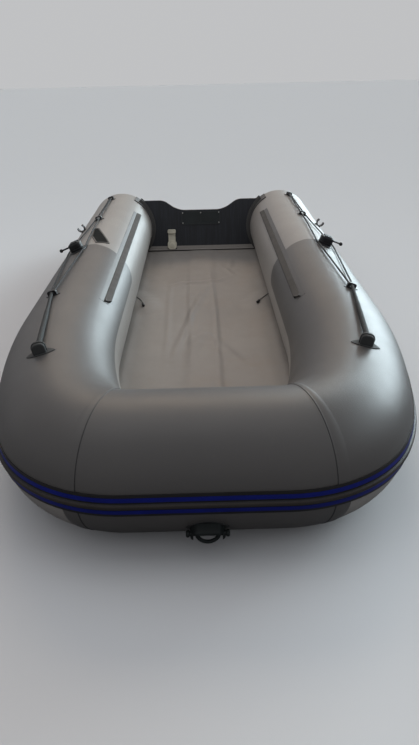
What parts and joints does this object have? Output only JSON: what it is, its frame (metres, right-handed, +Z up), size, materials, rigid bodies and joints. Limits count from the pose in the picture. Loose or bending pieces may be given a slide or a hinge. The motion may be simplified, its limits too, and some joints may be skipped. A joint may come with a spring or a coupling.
{
  "type": "inflatable boat",
  "caption": "Inflatable boat with a round tube led round the bow, a soft floor, a raked board transom, a striped rub rail, grab ropes, swivel oarlocks and a towing ring.",
  "frame": {"origin": "on the ground under the middle of the boat's box", "axes": "+Z up, +X to port, the bow points along -Y"},
  "size_m": [1.6508, 3.5752, 0.4894],
  "materials": {
    "pvc_dark": "satin coated PVC fabric",
    "pvc_light": "satin coated PVC fabric",
    "rubber_black": "moulded, semi-matt",
    "stripe_blue": "satin",
    "floor_fabric": "coated, slack",
    "keel_fabric": "satin coated PVC fabric",
    "transom_wood": "dark film-faced plywood",
    "pad_plastic": "moulded",
    "drain_plastic": "moulded",
    "track_grey": "extruded PVC",
    "plastic_black": "moulded",
    "webbing": "woven",
    "rope_dark": "braided"
  },
  "bodies": {
    "boat": {"badge_plate": "pvc_dark", "bow_block": "rubber_black", "bow_patch": "rubber_black", "bow_tube": "pvc_dark", "drain_valve": "drain_plastic", "floor_panel": "floor_fabric", "keel_tube": "keel_fabric", "motor_pad_inner": "pad_plastic", "motor_pad_outer": "pad_plastic", "port_eyelet_front": "plastic_black", "port_eyelet_middle": "plastic_black", "port_eyelet_stern": "plastic_black", "port_floor_toggle": "plastic_black", "port_lanyard": "rope_dark", "port_oar_clip": "plastic_black", "port_oarlock_base": "plastic_black", "port_quarter_tube": "pvc_light", "port_rail_side": "rubber_black", "port_rope_grip": "rope_dark", "port_rope_inner": "rope_dark", "port_rope_outer": "rope_dark", "port_rope_strap": "webbing", "port_seat_track": "track_grey", "port_shoulder_lower": "pvc_light", "port_shoulder_upper": "pvc_dark", "port_side_lower": "pvc_light", "port_side_upper": "pvc_dark", "port_tail_cap": "rubber_black", "port_tail_cone": "pvc_light", "port_transom_holder": "rubber_black", "rail_bow": "rubber_black", "rail_stripe_lower": "stripe_blue", "rail_stripe_upper": "stripe_blue", "starboard_eyelet_front": "plastic_black", "starboard_eyelet_middle": "plastic_black", "starboard_eyelet_stern": "plastic_black", "starboard_floor_toggle": "plastic_black", "starboard_lanyard": "rope_dark", "starboard_oar_clip": "plastic_black", "starboard_oarlock_base": "plastic_black", "starboard_quarter_tube": "pvc_light", "starboard_rail_side": "rubber_black", "starboard_rope_grip": "rope_dark", "starboard_rope_inner": "rope_dark", "starboard_rope_outer": "rope_dark", "starboard_rope_strap": "webbing", "starboard_seat_track": "track_grey", "starboard_shoulder_lower": "pvc_light", "starboard_shoulder_upper": "pvc_dark", "starboard_side_lower": "pvc_light", "starboard_side_upper": "pvc_dark", "starboard_tail_cap": "rubber_black", "starboard_tail_cone": "pvc_light", "starboard_transom_holder": "rubber_black", "transom_board": "transom_wood", "transom_foot_tape": "keel_fabric"},
    "bow_ring": {"bow_ring": "plastic_black"},
    "port_oarlock": {"port_oarlock_swivel": "plastic_black"},
    "starboard_oarlock": {"starboard_oarlock_swivel": "plastic_black"}
  },
  "joints": [
    {"name": "bow_ring_swing", "type": "hinge", "parent": "boat", "child": "bow_ring", "pos_m": [0, -1.76479, 0.10998], "axis": [1, 0, 0], "range_deg": [-85, 35]},
    {"name": "port_oarlock_turn", "type": "hinge", "parent": "boat", "child": "port_oarlock", "pos_m": [0.67697, 0.0716, 0.44474], "axis": [0.3746, 0, 0.9272], "continuous": true},
    {"name": "starboard_oarlock_turn", "type": "hinge", "parent": "boat", "child": "starboard_oarlock", "pos_m": [-0.67697, 0.0716, 0.44474], "axis": [-0.3746, 0, 0.9272], "continuous": true}
  ]
}
